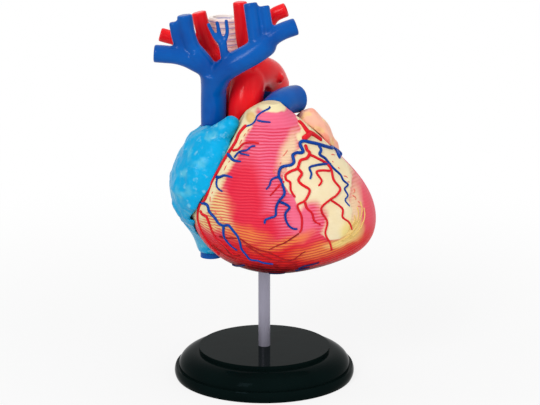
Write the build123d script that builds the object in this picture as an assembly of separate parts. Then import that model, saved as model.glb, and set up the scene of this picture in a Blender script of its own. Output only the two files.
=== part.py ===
from build123d import *
import os
from math import radians, tan

# A desk model of the human heart that comes apart, on a rod and a round base.
# All lengths are in millimetres. X runs to the viewer's right, Y runs away from
# the viewer, Z runs up. The origin is the centre of the base's underside, and
# the rod stands on that same axis.

# Base: a glossy moulding closed from below by a flat plate
base_radius = 45.7
base_height = 15.0
base_wall = 2.2
foot_height = 5.4
foot_bulge = 0.7
foot_step = 2.2
disc_radius = 33.2
disc_edge = 2.0
plate_thickness = 2.0
plate_gap = 0.1

# Rod: plain round stock that carries the heart
rod_radius = 3.0
rod_top = 76.0
rod_fit = 0.05
rod_end_gap = 0.3
rod_boss_wall = 3.4

# Fits between loose pieces, and between pieces that stay together
piece_gap = 0.3
seat_gap = 0.05
post_radius = 3.6
peg_radius = 1.5
peg_length = 4.5
peg_gap = 0.3

# Ventricles: the lower heart, as ellipses stacked from the tip to the outlet.
# An organ's box is its left edge, width, front, depth, bottom and height.
ventricle_left = -39.0
ventricle_width = 95.0
ventricle_front = -38.0
ventricle_depth = 64.0
ventricle_bottom = 58.0
ventricle_height = 86.6
ventricle_wall = 3.5
# Each row: height, left edge, right edge, middle of the depth, half depth
ventricle_shares = [
    (0.000, 0.379, 0.558, 0.516, 0.141),
    (0.014, 0.316, 0.632, 0.508, 0.234),
    (0.040, 0.242, 0.737, 0.500, 0.320),
    (0.079, 0.174, 0.842, 0.500, 0.391),
    (0.133, 0.116, 0.932, 0.500, 0.445),
    (0.214, 0.063, 0.984, 0.500, 0.484),
    (0.312, 0.026, 0.996, 0.500, 0.500),
    (0.416, 0.000, 0.975, 0.500, 0.484),
    (0.531, 0.026, 0.918, 0.484, 0.445),
    (0.647, 0.084, 0.829, 0.461, 0.391),
    (0.762, 0.153, 0.726, 0.430, 0.312),
    (0.866, 0.232, 0.629, 0.391, 0.237),
    (0.947, 0.316, 0.547, 0.359, 0.164),
    (1.000, 0.395, 0.495, 0.344, 0.086),
]
# Two places on the slanted face towards the right atrium: across, up
groove_low_share = (0.038, 0.351)
groove_high_share = (0.302, 0.910)
# The seam where the front wall lifts off, its posts (across, up), the solid top
seam_depth = -8.0
post_shares = [(0.885, 0.20), (0.150, 0.25), (0.50, 0.80)]
block_share = 0.70

# Valves and what holds them
valve_plate_thickness = 4.0
valve_plate_top_share = 0.80
valve_middle_share = 0.475
valve_wall = 1.2
tricuspid_radius = 6.5
tricuspid_share = 0.215
mitral_radius = 5.8
mitral_share = 0.50
leaflet_length = 8.0
leaflet_tip_share = 0.6
leaflet_root_share = 0.3
leaflet_slit = 0.8
aortic_valve_radius = 5.2
pulmonary_valve_radius = 3.4
cusp_slit = 0.7
cusp_depth = 2.0
septum_thickness = 3.2
# Ends of the septum seen from the front: across, up
septum_start_share = (0.10, 0.58)
septum_end_share = (0.86, 0.03)
muscle_radius = 5.0
muscle_tip_radius = 1.8
cord_radius = 0.6
# Foot and tip of each muscle: across, depth, up
right_muscle_shares = [(0.326, 0.80, 0.10), (0.263, 0.62, 0.300)]
left_muscle_shares = [(0.900, 0.72, 0.34), (0.560, 0.60, 0.480)]

# Right atrium, with the lobe that reaches towards the aorta
atrium_left = -47.0
atrium_width = 39.0
atrium_front = -26.5
atrium_depth = 43.0
atrium_bottom = 62.4
atrium_height = 69.1
atrium_wall = 2.8
atrium_shares = [
    (0.000, 0.359, 0.667, 0.826, 0.151),
    (0.045, 0.326, 0.667, 0.826, 0.198),
    (0.124, 0.277, 0.679, 0.802, 0.256),
    (0.247, 0.164, 0.679, 0.686, 0.360),
    (0.349, 0.079, 0.692, 0.593, 0.419),
    (0.450, 0.026, 0.744, 0.523, 0.465),
    (0.550, 0.000, 0.795, 0.500, 0.488),
    (0.650, 0.023, 0.880, 0.500, 0.500),
    (0.784, 0.123, 0.949, 0.500, 0.465),
    (0.891, 0.231, 1.000, 0.500, 0.407),
    (0.957, 0.333, 0.949, 0.500, 0.314),
    (1.000, 0.462, 0.846, 0.500, 0.209),
]
atrium_seam = -6.0
# Places in the atrium's box: across, depth, up
lobe_start_share = (0.55, 0.36, 0.86)
lobe_end_share = (0.79, 0.22, 1.035)
lobe_root_radius = 8.5
lobe_tip_radius = 4.3
atrium_post_shares = [(0.19, 0.50), (0.36, 0.86)]
cava_ring_radius = 5.4
cava_ring_bore = 3.8
cava_ring_length = 3.0
cava_ring_share = (0.513, 0.826)

# Left atrium, its lobe at the viewer's right, and the stubs of the lung veins
left_atrium_left = -15.0
left_atrium_width = 31.0
left_atrium_front = 2.0
left_atrium_depth = 24.0
left_atrium_bottom = 102.0
left_atrium_height = 31.5
left_atrium_shares = [
    (0.000, 0.290, 0.742, 0.500, 0.250),
    (0.127, 0.097, 0.935, 0.500, 0.417),
    (0.381, 0.000, 1.000, 0.500, 0.500),
    (0.667, 0.000, 1.000, 0.500, 0.500),
    (0.889, 0.097, 0.903, 0.500, 0.417),
    (1.000, 0.290, 0.710, 0.500, 0.250),
]
auricle_left = 13.0
auricle_width = 25.2
auricle_front = -7.0
auricle_depth = 23.0
auricle_bottom = 106.0
auricle_height = 31.0
auricle_shares = [
    (0.000, 0.270, 0.830, 0.522, 0.217),
    (0.194, 0.040, 0.988, 0.522, 0.413),
    (0.419, 0.000, 0.945, 0.500, 0.500),
    (0.645, 0.000, 0.815, 0.478, 0.478),
    (0.839, 0.080, 0.670, 0.457, 0.370),
    (1.000, 0.200, 0.440, 0.410, 0.174),
]
auricle_peg_share = (0.85, 0.46)
auricle_peg_length = 12.0
vein_stub_radius = 3.3
vein_stub_length = 12.0
vein_collar_radius = 2.6
vein_stub_depth_share = 0.78
vein_stub_height_shares = (0.50, 0.78)

# Great vessels. Each place is given across, in depth and up, as shares of the
# spread, depth and rise of the vessels, from the rod's axis and the vessels' foot.
vessel_spread = 100.0
vessel_depth = 50.0
vessel_rise = 70.0
vessel_foot = 120.0

cava_radius = 6.3
cava_shares = [(-0.250, -0.040, 0.100), (-0.250, -0.040, 0.320), (-0.247, -0.100, 0.450),
               (-0.252, -0.180, 0.560)]
left_trunk_radius = 5.8
left_trunk_shares = [(-0.246, -0.100, 0.420), (-0.212, -0.200, 0.545), (-0.150, -0.250, 0.612),
                     (-0.050, -0.260, 0.692), (0.006, -0.230, 0.745)]
left_arm_vein_radius = 4.3
left_arm_vein_shares = [(-0.020, -0.240, 0.728), (0.070, -0.205, 0.830), (0.157, -0.180, 0.870)]
left_neck_vein_radius = 3.5
left_neck_vein_shares = [(-0.036, -0.260, 0.720), (-0.048, -0.225, 0.850), (-0.067, -0.180, 1.034)]
left_side_vein_radius = 2.7
left_side_vein_shares = [(0.010, -0.230, 0.770), (0.017, -0.215, 0.860), (0.000, -0.180, 1.014)]
right_trunk_radius = 5.0
right_trunk_shares = [(-0.248, -0.125, 0.480), (-0.285, -0.180, 0.590), (-0.345, -0.182, 0.690)]
right_neck_vein_radius = 3.8
right_neck_vein_shares = [(-0.325, -0.180, 0.650), (-0.370, -0.180, 0.790), (-0.386, -0.180, 0.950)]
right_side_vein_radius = 2.3
right_side_vein_shares = [(-0.370, -0.180, 0.650), (-0.425, -0.180, 0.760), (-0.440, -0.180, 0.901)]
right_arm_vein_radius = 4.4
right_arm_vein_shares = [(-0.290, -0.180, 0.580), (-0.400, -0.180, 0.665), (-0.537, -0.180, 0.679)]
thyroid_trunk_radius = 2.1
thyroid_trunk_shares = [(-0.186, -0.265, 0.620), (-0.194, -0.260, 0.700), (-0.202, -0.250, 0.770)]
thyroid_vein_radius = 1.05
thyroid_left_shares = [(-0.202, -0.250, 0.745), (-0.240, -0.240, 0.800), (-0.272, -0.235, 0.901)]
thyroid_middle_shares = [(-0.202, -0.250, 0.745), (-0.214, -0.240, 0.817), (-0.229, -0.235, 0.914)]
thyroid_right_shares = [(-0.202, -0.250, 0.745), (-0.176, -0.240, 0.817), (-0.184, -0.235, 0.926)]

root_radius = 9.0
root_shares = [(-0.096, 0.050, 0.000), (-0.096, 0.050, 0.300), (-0.082, 0.120, 0.430)]
arch_radius = 8.4
arch_shares = [(-0.096, 0.050, 0.300), (-0.082, 0.120, 0.430), (-0.032, 0.290, 0.481),
               (0.022, 0.480, 0.430), (0.048, 0.620, 0.320)]
aortic_valve_share = (-0.096, 0.050, 0.235)
descending_radius = 7.2
descending_shares = [(0.015, 0.450, 0.440), (0.048, 0.620, 0.330), (0.050, 0.675, 0.160),
                     (0.049, 0.675, -0.100)]
neck_trunk_radius = 4.6
neck_trunk_shares = [(-0.082, 0.120, 0.430), (-0.160, 0.190, 0.535), (-0.262, 0.190, 0.625)]
right_neck_artery_radius = 3.8
right_neck_artery_shares = [(-0.240, 0.190, 0.605), (-0.292, 0.190, 0.735), (-0.323, 0.190, 0.924)]
right_arm_artery_radius = 3.5
right_arm_artery_shares = [(-0.270, 0.190, 0.665), (-0.380, 0.190, 0.711), (-0.515, 0.190, 0.765)]
left_neck_artery_radius = 3.6
left_neck_artery_shares = [(-0.050, 0.200, 0.480), (-0.103, 0.160, 0.694), (-0.119, 0.160, 1.001)]
left_arm_artery_radius = 3.6
left_arm_artery_bore = 2.4
left_arm_artery_shares = [(-0.045, 0.280, 0.470), (-0.040, 0.220, 0.620), (0.010, 0.190, 0.800),
                          (0.040, 0.170, 0.905), (0.112, 0.160, 0.946)]
open_end_depth = 7.0
ligament_radius = 1.9
ligament_shares = [(0.040, 0.400, 0.430), (0.098, 0.330, 0.420)]

pulmonary_radius = 7.0
pulmonary_shares = [(0.030, -0.220, 0.060), (0.038, -0.160, 0.255), (0.072, -0.060, 0.296),
                    (0.108, 0.050, 0.306), (0.138, 0.130, 0.304), (0.168, 0.190, 0.300)]
pulmonary_valve_share = (0.060, -0.095, 0.320)
right_branch_radius = 4.8
right_branch_shares = [(0.090, 0.020, 0.290), (0.045, 0.280, 0.268), (-0.060, 0.358, 0.268),
                       (-0.280, 0.358, 0.265)]

# Windpipe behind the vessels, with its rings
windpipe_radius = 7.4
windpipe_wall = 1.8
windpipe_ring = 0.7
windpipe_ring_height = 1.7
windpipe_pitch = 2.9
windpipe_foot_share = (-0.200, 0.460, 0.430)
windpipe_top_share = 0.855
bronchus_radius = 3.6
left_bronchus_shares = [(-0.200, 0.480, 0.480), (-0.150, 0.520, 0.400), (-0.090, 0.560, 0.320)]
right_bronchus_shares = [(-0.200, 0.480, 0.480), (-0.238, 0.520, 0.400), (-0.270, 0.560, 0.330)]
windpipe_peg_share = (-0.215, 0.190, 0.595)
windpipe_peg_length = 7.7

# One overrun for every cut, a size beyond the whole model, and how much of a run a bend may take
overrun = 1.0
reach = 2 * vessel_spread
run_share = 0.45

standing = (Align.CENTER, Align.CENTER, Align.MIN)
hanging = (Align.CENTER, Align.CENTER, Align.MAX)


# Helpers for the whole model


def box_between(low, high):
    """A plain block between two opposite corners."""
    size = [high[i] - low[i] for i in range(3)]
    middle = [(high[i] + low[i]) / 2 for i in range(3)]
    return Pos(*middle) * Box(*size)


def in_front_of(depth):
    """Everything nearer to the viewer than this depth."""
    return box_between((-reach, -reach, -reach), (reach, depth, reach))


def behind(depth):
    """Everything further from the viewer than this depth."""
    return box_between((-reach, depth, -reach), (reach, reach, reach))


def above(height):
    """Everything higher than this height."""
    return box_between((-reach, -reach, height), (reach, reach, height + reach))


def below(height):
    """Everything lower than this height."""
    return box_between((-reach, -reach, height - reach), (reach, reach, height))


def together(shapes):
    """One solid out of several that run into each other."""
    shapes = list(shapes)
    result = shapes[0]
    for shape in shapes[1:]:
        result = result + shape
    return result


def organ_form(rows, box, grow=0.0):
    """A rounded body through stacked ellipses, larger by grow all round."""
    left, width, front, depth, bottom, height = box
    faces = []
    for up, left_edge, right_edge, middle, half in rows:
        across = left + (left_edge + right_edge) / 2 * width
        level = bottom - grow + up * (height + 2 * grow)
        half_width = (right_edge - left_edge) / 2 * width + grow
        half_depth = half * depth + grow
        place = Plane(origin=(across, front + middle * depth, level))
        faces.append(place * Ellipse(half_width, half_depth))
    return loft(faces)


def in_box(share, box):
    """A place in an organ's own box, from shares across, in depth and up."""
    left, width, front, depth, bottom, height = box
    return (left + share[0] * width, front + share[1] * depth, bottom + share[2] * height)


def vessel_place(share):
    """A place on a vessel's route, from its shares."""
    return (share[0] * vessel_spread, share[1] * vessel_depth, vessel_foot + share[2] * vessel_rise)


def tube(shares, radius):
    """A round bar along a vessel's route, its runs joined by wide arcs."""
    points = [Vector(*vessel_place(share)) for share in shares]
    radii = []
    for before, corner, after in zip(points, points[1:], points[2:]):
        run_in = corner - before
        run_out = after - corner
        turn = radians(run_in.get_angle(run_out))
        radii.append(run_share * min(run_in.length, run_out.length) / tan(turn / 2))
    path = FilletPolyline(*points, radius=radii) if radii else Line(*points)
    profile = Plane(origin=path @ 0, z_dir=path % 0) * Circle(radius)
    return sweep(profile, path=path)


def end_cap(shares, radius, inward, outward):
    """A round bar along the last run of a vessel's route, from inside its end to outside."""
    last = Vector(*vessel_place(shares[-1]))
    run = (last - Vector(*vessel_place(shares[-2]))).normalized()
    return bar(tuple(last - run * inward), tuple(last + run * outward), radius)


def bar(start, end, radius, end_radius=None):
    """A straight round bar, or a cone, from one point to another."""
    run = Vector(*end) - Vector(*start)
    shape = Cylinder(radius, run.length, align=standing)
    if end_radius is not None:
        shape = Cone(radius, end_radius, run.length, align=standing)
    return Plane(origin=start, z_dir=run) * shape


def posts(outer, shares, box, start_depth, end_depth):
    """Round posts inside a wall, from one depth to another, seen from the front at each share."""
    places = [in_box((across, 0, up), box) for across, up in shares]
    return together(bar((x, start_depth, z), (x, end_depth, z), post_radius) for x, _, z in places) & outer


def pegs(shares, box, seam, grow=0.0):
    """The pegs across a seam towards the viewer, or with grow the holes for them."""
    places = [in_box((across, 0, up), box) for across, up in shares]
    tip = seam - peg_length - grow
    return together(bar((x, seam + overrun, z), (x, tip, z), peg_radius + grow) for x, _, z in places)


# Base and rod


def base_profile():
    """Half outline of the base moulding, from the foot to the top disc."""
    foot_edge = base_radius - foot_bulge
    inner_edge = base_radius - 2 * base_wall
    dome_edge = base_radius - foot_step
    disc_foot = base_height - disc_edge
    ceiling = base_height - base_wall
    dome = EllipticalCenterArc((disc_radius, foot_height), dome_edge - disc_radius,
                               disc_foot - foot_height, start_angle=0, arc_size=90)
    outline = Curve() + [
        Line((inner_edge, 0), (foot_edge, 0)),
        ThreePointArc((foot_edge, 0), (base_radius, foot_height / 2), (foot_edge, foot_height)),
        Line((foot_edge, foot_height), (dome_edge, foot_height)),
        dome,
        Line((disc_radius, disc_foot), (disc_radius, base_height)),
        Line((disc_radius, base_height), (0, base_height)),
        Line((0, base_height), (0, ceiling)),
        Line((0, ceiling), (disc_radius - base_wall, ceiling)),
        Line((disc_radius - base_wall, ceiling), (inner_edge, foot_height)),
        Line((inner_edge, foot_height), (inner_edge, 0)),
    ]
    return Plane.XZ * make_face(outline)


def base_dome():
    """The base moulding: a shell with a socket for the rod."""
    shell = revolve(base_profile(), axis=Axis.Z)
    boss_foot = plate_thickness + plate_gap
    boss_top = base_height - base_wall / 2
    boss = bar((0, 0, boss_foot), (0, 0, boss_top), rod_radius + rod_boss_wall)
    bore = bar((0, 0, 0), (0, 0, base_height + overrun), rod_radius + rod_fit)
    return shell + boss - bore


def base_plate():
    """The flat plate that closes the base from below."""
    radius = base_radius - 2 * base_wall - plate_gap
    return bar((0, 0, 0), (0, 0, plate_thickness), radius)


def support_rod():
    """The round rod from the base up into the heart."""
    return bar((0, 0, plate_thickness + rod_end_gap), (0, 0, rod_top), rod_radius)


# Ventricles

ventricle_box = (ventricle_left, ventricle_width, ventricle_front, ventricle_depth,
                 ventricle_bottom, ventricle_height)
groove_low = in_box((groove_low_share[0], 0, groove_low_share[1]), ventricle_box)
groove_high = in_box((groove_high_share[0], 0, groove_high_share[1]), ventricle_box)
groove_run = Vector(groove_high[0] - groove_low[0], 0, groove_high[2] - groove_low[2])
groove_normal = Vector(groove_run.Z, 0, -groove_run.X).normalized()
block_level = ventricle_bottom + block_share * ventricle_height
valve_depth = ventricle_front + valve_middle_share * ventricle_depth


def groove_plane(share, depth, offset=0.0):
    """A plane on the slanted face, at a share of the way up it, facing the ventricles."""
    origin = Vector(groove_low[0], depth, groove_low[2]) + groove_run * share
    return Plane(origin=origin + groove_normal * offset, x_dir=(0, 1, 0), z_dir=groove_normal)


def ventricle_side(offset=0.0):
    """Everything on the ventricles' side of the slanted face."""
    return groove_plane(0, 0, offset) * Box(2 * reach, 2 * reach, 2 * reach, align=standing)


def atrium_side(offset=0.0):
    """Everything on the right atrium's side of the slanted face."""
    return groove_plane(0, 0, offset) * Box(2 * reach, 2 * reach, 2 * reach, align=hanging)


def ventricle_form(grow=0.0):
    """The outside of both ventricles, cut off at the slanted face."""
    return organ_form(ventricle_shares, ventricle_box, grow) & ventricle_side(-grow)


def ventricle_hollow(extra=0.0):
    """The space inside the ventricles' wall, open at the slanted face."""
    return organ_form(ventricle_shares, ventricle_box, -ventricle_wall - extra) & ventricle_side()


def ventricle_front_wall(outer, hollow):
    """The front half of the ventricles' wall, with posts for the pegs behind it."""
    edge = seam_depth - piece_gap / 2
    wall = (outer - hollow) & in_front_of(edge)
    wall = wall + posts(outer, post_shares, ventricle_box, -reach, edge)
    return wall - pegs(post_shares, ventricle_box, seam_depth, peg_gap)


def ventricle_back_wall(outer, hollow):
    """The back half of the wall, with the rod's socket, a solid top and pegs."""
    edge = seam_depth + piece_gap / 2
    inside = valve_plate_thickness + seat_gap
    socket_top = rod_top + rod_end_gap
    wall = (outer - hollow) & behind(edge)
    block = hollow & above(block_level) & behind(edge) & ventricle_side(inside)
    boss = bar((0, 0, 0), (0, 0, socket_top + rod_boss_wall), rod_radius + rod_boss_wall) & outer
    wall = together([wall, block, boss, posts(outer, post_shares, ventricle_box, edge, reach)])
    wall = wall + pegs(post_shares, ventricle_box, seam_depth)
    return wall - bar((0, 0, 0), (0, 0, socket_top), rod_radius + rod_fit)


def valve_ports():
    """The two round openings through the valve plate."""
    ports = []
    for share, radius in ((tricuspid_share, tricuspid_radius), (mitral_share, mitral_radius)):
        port = Cylinder(radius, valve_plate_thickness + 2 * overrun, align=standing)
        ports.append(groove_plane(share, valve_depth, -overrun) * port)
    return together(ports)


def valve_plate(inner):
    """The plate that closes the slanted face, with a port for each valve."""
    plate = inner - ventricle_side(valve_plate_thickness) - valve_ports()
    return plate & below(ventricle_bottom + valve_plate_top_share * ventricle_height)


def heart_valve(share, radius, leaflets):
    """A ring with a tapering skirt cut into leaflets, standing in its port."""
    ring_radius = radius - seat_gap
    bore = ring_radius - valve_wall
    tip = bore * leaflet_tip_share
    ring = Cylinder(ring_radius, valve_plate_thickness, align=standing)
    ring = ring - Cylinder(bore, valve_plate_thickness, align=standing)
    skirt = Cone(ring_radius - valve_wall / 2, tip + valve_wall, leaflet_length, align=standing)
    skirt = skirt - Cone(bore - valve_wall / 2, tip, leaflet_length, align=standing)
    slit = Pos(0, 0, leaflet_length * leaflet_root_share)
    slit = slit * Box(2 * radius, leaflet_slit, leaflet_length, align=(Align.MIN, Align.CENTER, Align.MIN))
    for number in range(leaflets):
        skirt = skirt - Rot(0, 0, 360 / leaflets * number) * slit
    skirt = Pos(0, 0, valve_plate_thickness - valve_wall) * skirt
    return groove_plane(share, valve_depth) * (ring + skirt)


def septum(inner):
    """The wall between the two chambers, in the back half."""
    start = in_box((septum_start_share[0], 0, septum_start_share[1]), ventricle_box)
    end = in_box((septum_end_share[0], 0, septum_end_share[1]), ventricle_box)
    run = Vector(end[0] - start[0], 0, end[2] - start[2])
    slab = Plane(origin=(start[0], 0, start[2]), x_dir=run, z_dir=(0, 1, 0))
    slab = slab * Box(2 * reach, septum_thickness, 2 * reach)
    slab = slab & inner & behind(seam_depth + piece_gap / 2)
    slab = slab & ventricle_side(valve_plate_thickness + seat_gap) & below(block_level - seat_gap)
    boss_top = rod_top + rod_end_gap + rod_boss_wall + seat_gap
    boss = bar((0, 0, 0), (0, 0, boss_top), rod_radius + rod_boss_wall + seat_gap)
    clear_posts = posts(inner, post_shares, ventricle_box, -reach, reach)
    return slab - boss - clear_posts


def papillary_muscle(inner, shares, valve_share, valve_radius):
    """A tapering muscle with three cords that reach for a valve's leaflets."""
    foot = in_box(shares[0], ventricle_box)
    tip = in_box(shares[1], ventricle_box)
    muscle = bar(foot, tip, muscle_radius, muscle_tip_radius) & inner
    skirt_end = valve_plate_thickness - valve_wall + leaflet_length + cord_radius + piece_gap
    place = groove_plane(valve_share, valve_depth, skirt_end)
    for number in range(3):
        corner = place.location * Rot(0, 0, 60 + 120 * number) * Pos(valve_radius * leaflet_tip_share, 0, 0)
        muscle = muscle + bar(tip, tuple(corner.position), cord_radius)
    return muscle


def outlet_valve(share, radius):
    """A three-cusped valve that stands on the ventricles and plugs into a vessel."""
    x, y, top = vessel_place(share)
    valve = bar((x, y, vessel_foot - overrun), (x, y, top), radius)
    slit = Box(2 * radius, cusp_slit, 2 * cusp_depth, align=(Align.MIN, Align.CENTER, Align.CENTER))
    for number in range(3):
        valve = valve - Pos(x, y, top) * Rot(0, 0, 120 * number) * slit
    return valve - ventricle_form(seat_gap)


def outlet_hole(share, radius):
    """The hole in a vessel's foot for the valve that it is plugged onto."""
    x, y, top = vessel_place(share)
    return bar((x, y, vessel_foot - overrun), (x, y, top + peg_gap), radius + peg_gap)


# Right atrium

atrium_box = (atrium_left, atrium_width, atrium_front, atrium_depth, atrium_bottom, atrium_height)


def aorta_column():
    """The upright space that the aorta's foot needs, to be lifted out."""
    x, y, foot = vessel_place(root_shares[0])
    return bar((x, y, foot - root_radius), (x, y, reach), root_radius + piece_gap)


def atrium_limits(offset):
    """The space that the right atrium may take beside and below the slanted face."""
    return atrium_side(-offset) + below(groove_low[2] - atrium_wall)


def atrium_form():
    """The outside of the right atrium with its lobe."""
    start = in_box(lobe_start_share, atrium_box)
    end = in_box(lobe_end_share, atrium_box)
    lobe = bar(start, end, lobe_root_radius, lobe_tip_radius)
    form = together([organ_form(atrium_shares, atrium_box), lobe, Pos(*end) * Sphere(lobe_tip_radius)])
    return (form & atrium_limits(piece_gap)) - ventricle_form(piece_gap) - aorta_column()


def atrium_hollow():
    """The chamber inside the right atrium, above the slanted face's foot."""
    hollow = organ_form(atrium_shares, atrium_box, -atrium_wall)
    hollow = hollow & atrium_side(-piece_gap - atrium_wall) & above(groove_low[2])
    return hollow


def vein_socket():
    """The hole in the top of the right atrium where the upper vein plugs in."""
    x, y, foot = vessel_place(cava_shares[0])
    return bar((x, y, foot - piece_gap), (x, y, reach), cava_radius + piece_gap)


def right_atrium_front(outer, hollow):
    """The front of the right atrium, which lifts off towards the viewer."""
    edge = atrium_seam - piece_gap / 2
    wall = (outer - hollow) & in_front_of(edge)
    wall = wall + posts(outer, atrium_post_shares, atrium_box, -reach, edge)
    return wall - pegs(atrium_post_shares, atrium_box, atrium_seam, peg_gap) - vein_socket()


def right_atrium_back(outer, hollow):
    """The back of the right atrium, with a socket for the upper vein."""
    edge = atrium_seam + piece_gap / 2
    wall = (outer - hollow) & behind(edge)
    wall = wall + posts(outer, atrium_post_shares, atrium_box, edge, reach)
    wall = wall + pegs(atrium_post_shares, atrium_box, atrium_seam)
    return wall - vein_socket()


def inferior_vena_cava():
    """The short ring of the lower vein under the right atrium."""
    x, y, top = in_box((cava_ring_share[0], cava_ring_share[1], 0), atrium_box)
    ring = bar((x, y, top - cava_ring_length), (x, y, top), cava_ring_radius)
    return ring - bar((x, y, top - cava_ring_length), (x, y, top), cava_ring_bore)


# Left atrium

left_atrium_box = (left_atrium_left, left_atrium_width, left_atrium_front, left_atrium_depth,
                   left_atrium_bottom, left_atrium_height)
auricle_box = (auricle_left, auricle_width, auricle_front, auricle_depth, auricle_bottom,
               auricle_height)


def left_atrium_form(grow=0.0):
    """The outside of the left atrium behind the ventricles' top."""
    form = organ_form(left_atrium_shares, left_atrium_box, grow)
    return form - ventricle_form(seat_gap) - aorta_column()


def auricle_peg(grow=0.0):
    """The peg from the left atrium into its lobe, or with grow the hole for it."""
    x = left_atrium_left + left_atrium_width / 2
    y = auricle_front + auricle_peg_share[0] * auricle_depth
    z = auricle_bottom + auricle_peg_share[1] * auricle_height
    end = left_atrium_left + left_atrium_width + auricle_peg_length / 2 + grow
    return bar((x, y, z), (end, y, z), peg_radius + grow)


def left_atrium():
    """The left atrium with the peg for its lobe."""
    return left_atrium_form() + (auricle_peg() - ventricle_form(seat_gap))


def left_auricle():
    """The lobe of the left atrium at the viewer's right."""
    lobe = organ_form(auricle_shares, auricle_box) & behind(seam_depth + piece_gap / 2)
    lobe = lobe - ventricle_form(piece_gap) - left_atrium_form(piece_gap)
    lobe = lobe - tube(pulmonary_shares, pulmonary_radius + piece_gap)
    lobe = lobe - end_cap(pulmonary_shares, pulmonary_radius + piece_gap, overrun, piece_gap)
    return lobe - auricle_peg(peg_gap)


def lung_veins(side):
    """Two stubs joined by a collar, at one side of the left atrium."""
    middle = left_atrium_left + left_atrium_width / 2
    edge = middle + side * left_atrium_width / 2
    y = left_atrium_front + vein_stub_depth_share * left_atrium_depth
    heights = [left_atrium_bottom + share * left_atrium_height for share in vein_stub_height_shares]
    end = edge + side * vein_stub_length
    stubs = [bar((middle, y, z), (end, y, z), vein_stub_radius) for z in heights]
    collar = bar((edge, y, heights[0]), (edge, y, heights[1]), vein_collar_radius)
    veins = together(stubs + [collar])
    return veins - left_atrium_form(seat_gap)


# Great vessels


def great_veins():
    """The upper vein with its two trunks and all their branches, as one moulding."""
    return together([
        tube(cava_shares, cava_radius),
        tube(left_trunk_shares, left_trunk_radius),
        tube(right_trunk_shares, right_trunk_radius),
        tube(left_arm_vein_shares, left_arm_vein_radius),
        tube(left_neck_vein_shares, left_neck_vein_radius),
        tube(left_side_vein_shares, left_side_vein_radius),
        tube(right_neck_vein_shares, right_neck_vein_radius),
        tube(right_side_vein_shares, right_side_vein_radius),
        tube(right_arm_vein_shares, right_arm_vein_radius),
        tube(thyroid_trunk_shares, thyroid_trunk_radius),
        tube(thyroid_left_shares, thyroid_vein_radius),
        tube(thyroid_middle_shares, thyroid_vein_radius),
        tube(thyroid_right_shares, thyroid_vein_radius),
    ])


def windpipe_peg(grow=0.0):
    """The peg from the neck artery back into the windpipe, or the hole for it."""
    x, y, z = vessel_place(windpipe_peg_share)
    return bar((x, y, z), (x, y + windpipe_peg_length + grow, z), peg_radius + grow)


def aorta():
    """The aorta from its root over the arch and down, with the arteries of the neck and arms."""
    vessel = together([
        tube(root_shares, root_radius),
        Pos(*vessel_place(root_shares[-1])) * Sphere(root_radius),
        tube(arch_shares, arch_radius),
        tube(descending_shares, descending_radius),
        tube(neck_trunk_shares, neck_trunk_radius),
        tube(right_neck_artery_shares, right_neck_artery_radius),
        tube(right_arm_artery_shares, right_arm_artery_radius),
        tube(left_neck_artery_shares, left_neck_artery_radius),
        tube(left_arm_artery_shares, left_arm_artery_radius),
        tube(ligament_shares, ligament_radius),
        windpipe_peg(),
    ])
    open_end = end_cap(left_arm_artery_shares, left_arm_artery_bore, open_end_depth, overrun)
    vessel = vessel - open_end - ventricle_form(piece_gap)
    return vessel - outlet_hole(aortic_valve_share, aortic_valve_radius)


def pulmonary_artery():
    """The lung artery from the ventricles' outlet, with its left and right branches."""
    vessel = tube(pulmonary_shares, pulmonary_radius) + tube(right_branch_shares, right_branch_radius)
    vessel = vessel - ventricle_form(piece_gap)
    return vessel - outlet_hole(pulmonary_valve_share, pulmonary_valve_radius)


def windpipe():
    """The windpipe with its rings and the stubs of its two branches."""
    x, y, foot = vessel_place(windpipe_foot_share)
    top = vessel_foot + windpipe_top_share * vessel_rise
    pipe = bar((x, y, foot), (x, y, top), windpipe_radius)
    level = foot + windpipe_pitch / 2
    while level + windpipe_ring_height < top:
        ring = bar((x, y, level), (x, y, level + windpipe_ring_height), windpipe_radius + windpipe_ring)
        pipe = pipe + ring
        level = level + windpipe_pitch
    bore = bar((x, y, foot - overrun), (x, y, top + overrun), windpipe_radius - windpipe_wall)
    pipe = pipe - bore
    branches = tube(left_bronchus_shares, bronchus_radius) + tube(right_bronchus_shares, bronchus_radius)
    return pipe + branches - windpipe_peg(peg_gap)


def build():
    """Every piece by name."""
    outer = ventricle_form()
    hollow = ventricle_hollow()
    inner = ventricle_hollow(seat_gap)
    atrium = atrium_form()
    chamber = atrium_hollow()
    return {
        "base_plate": base_plate(),
        "base_dome": base_dome(),
        "support_rod": support_rod(),
        "ventricle_front_wall": ventricle_front_wall(outer, hollow),
        "ventricle_back_wall": ventricle_back_wall(outer, hollow),
        "valve_plate": valve_plate(inner),
        "tricuspid_valve": heart_valve(tricuspid_share, tricuspid_radius, 3),
        "mitral_valve": heart_valve(mitral_share, mitral_radius, 2),
        "septum": septum(inner),
        "right_papillary_muscle": papillary_muscle(inner, right_muscle_shares, tricuspid_share,
                                                   tricuspid_radius),
        "left_papillary_muscle": papillary_muscle(inner, left_muscle_shares, mitral_share, mitral_radius),
        "aortic_valve": outlet_valve(aortic_valve_share, aortic_valve_radius),
        "pulmonary_valve": outlet_valve(pulmonary_valve_share, pulmonary_valve_radius),
        "right_atrium_front": right_atrium_front(atrium, chamber),
        "right_atrium_back": right_atrium_back(atrium, chamber),
        "inferior_vena_cava": inferior_vena_cava(),
        "left_atrium": left_atrium(),
        "left_auricle": left_auricle(),
        "left_lung_veins": lung_veins(1),
        "right_lung_veins": lung_veins(-1),
        "great_veins": great_veins(),
        "aorta": aorta(),
        "pulmonary_artery": pulmonary_artery(),
        "windpipe": windpipe(),
    }


os.makedirs("parts", exist_ok=True)
for name, piece in build().items():
    export_step(piece, os.path.join("parts", name + ".step"))
    print(name, round(piece.volume), len(piece.solids()))
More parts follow.
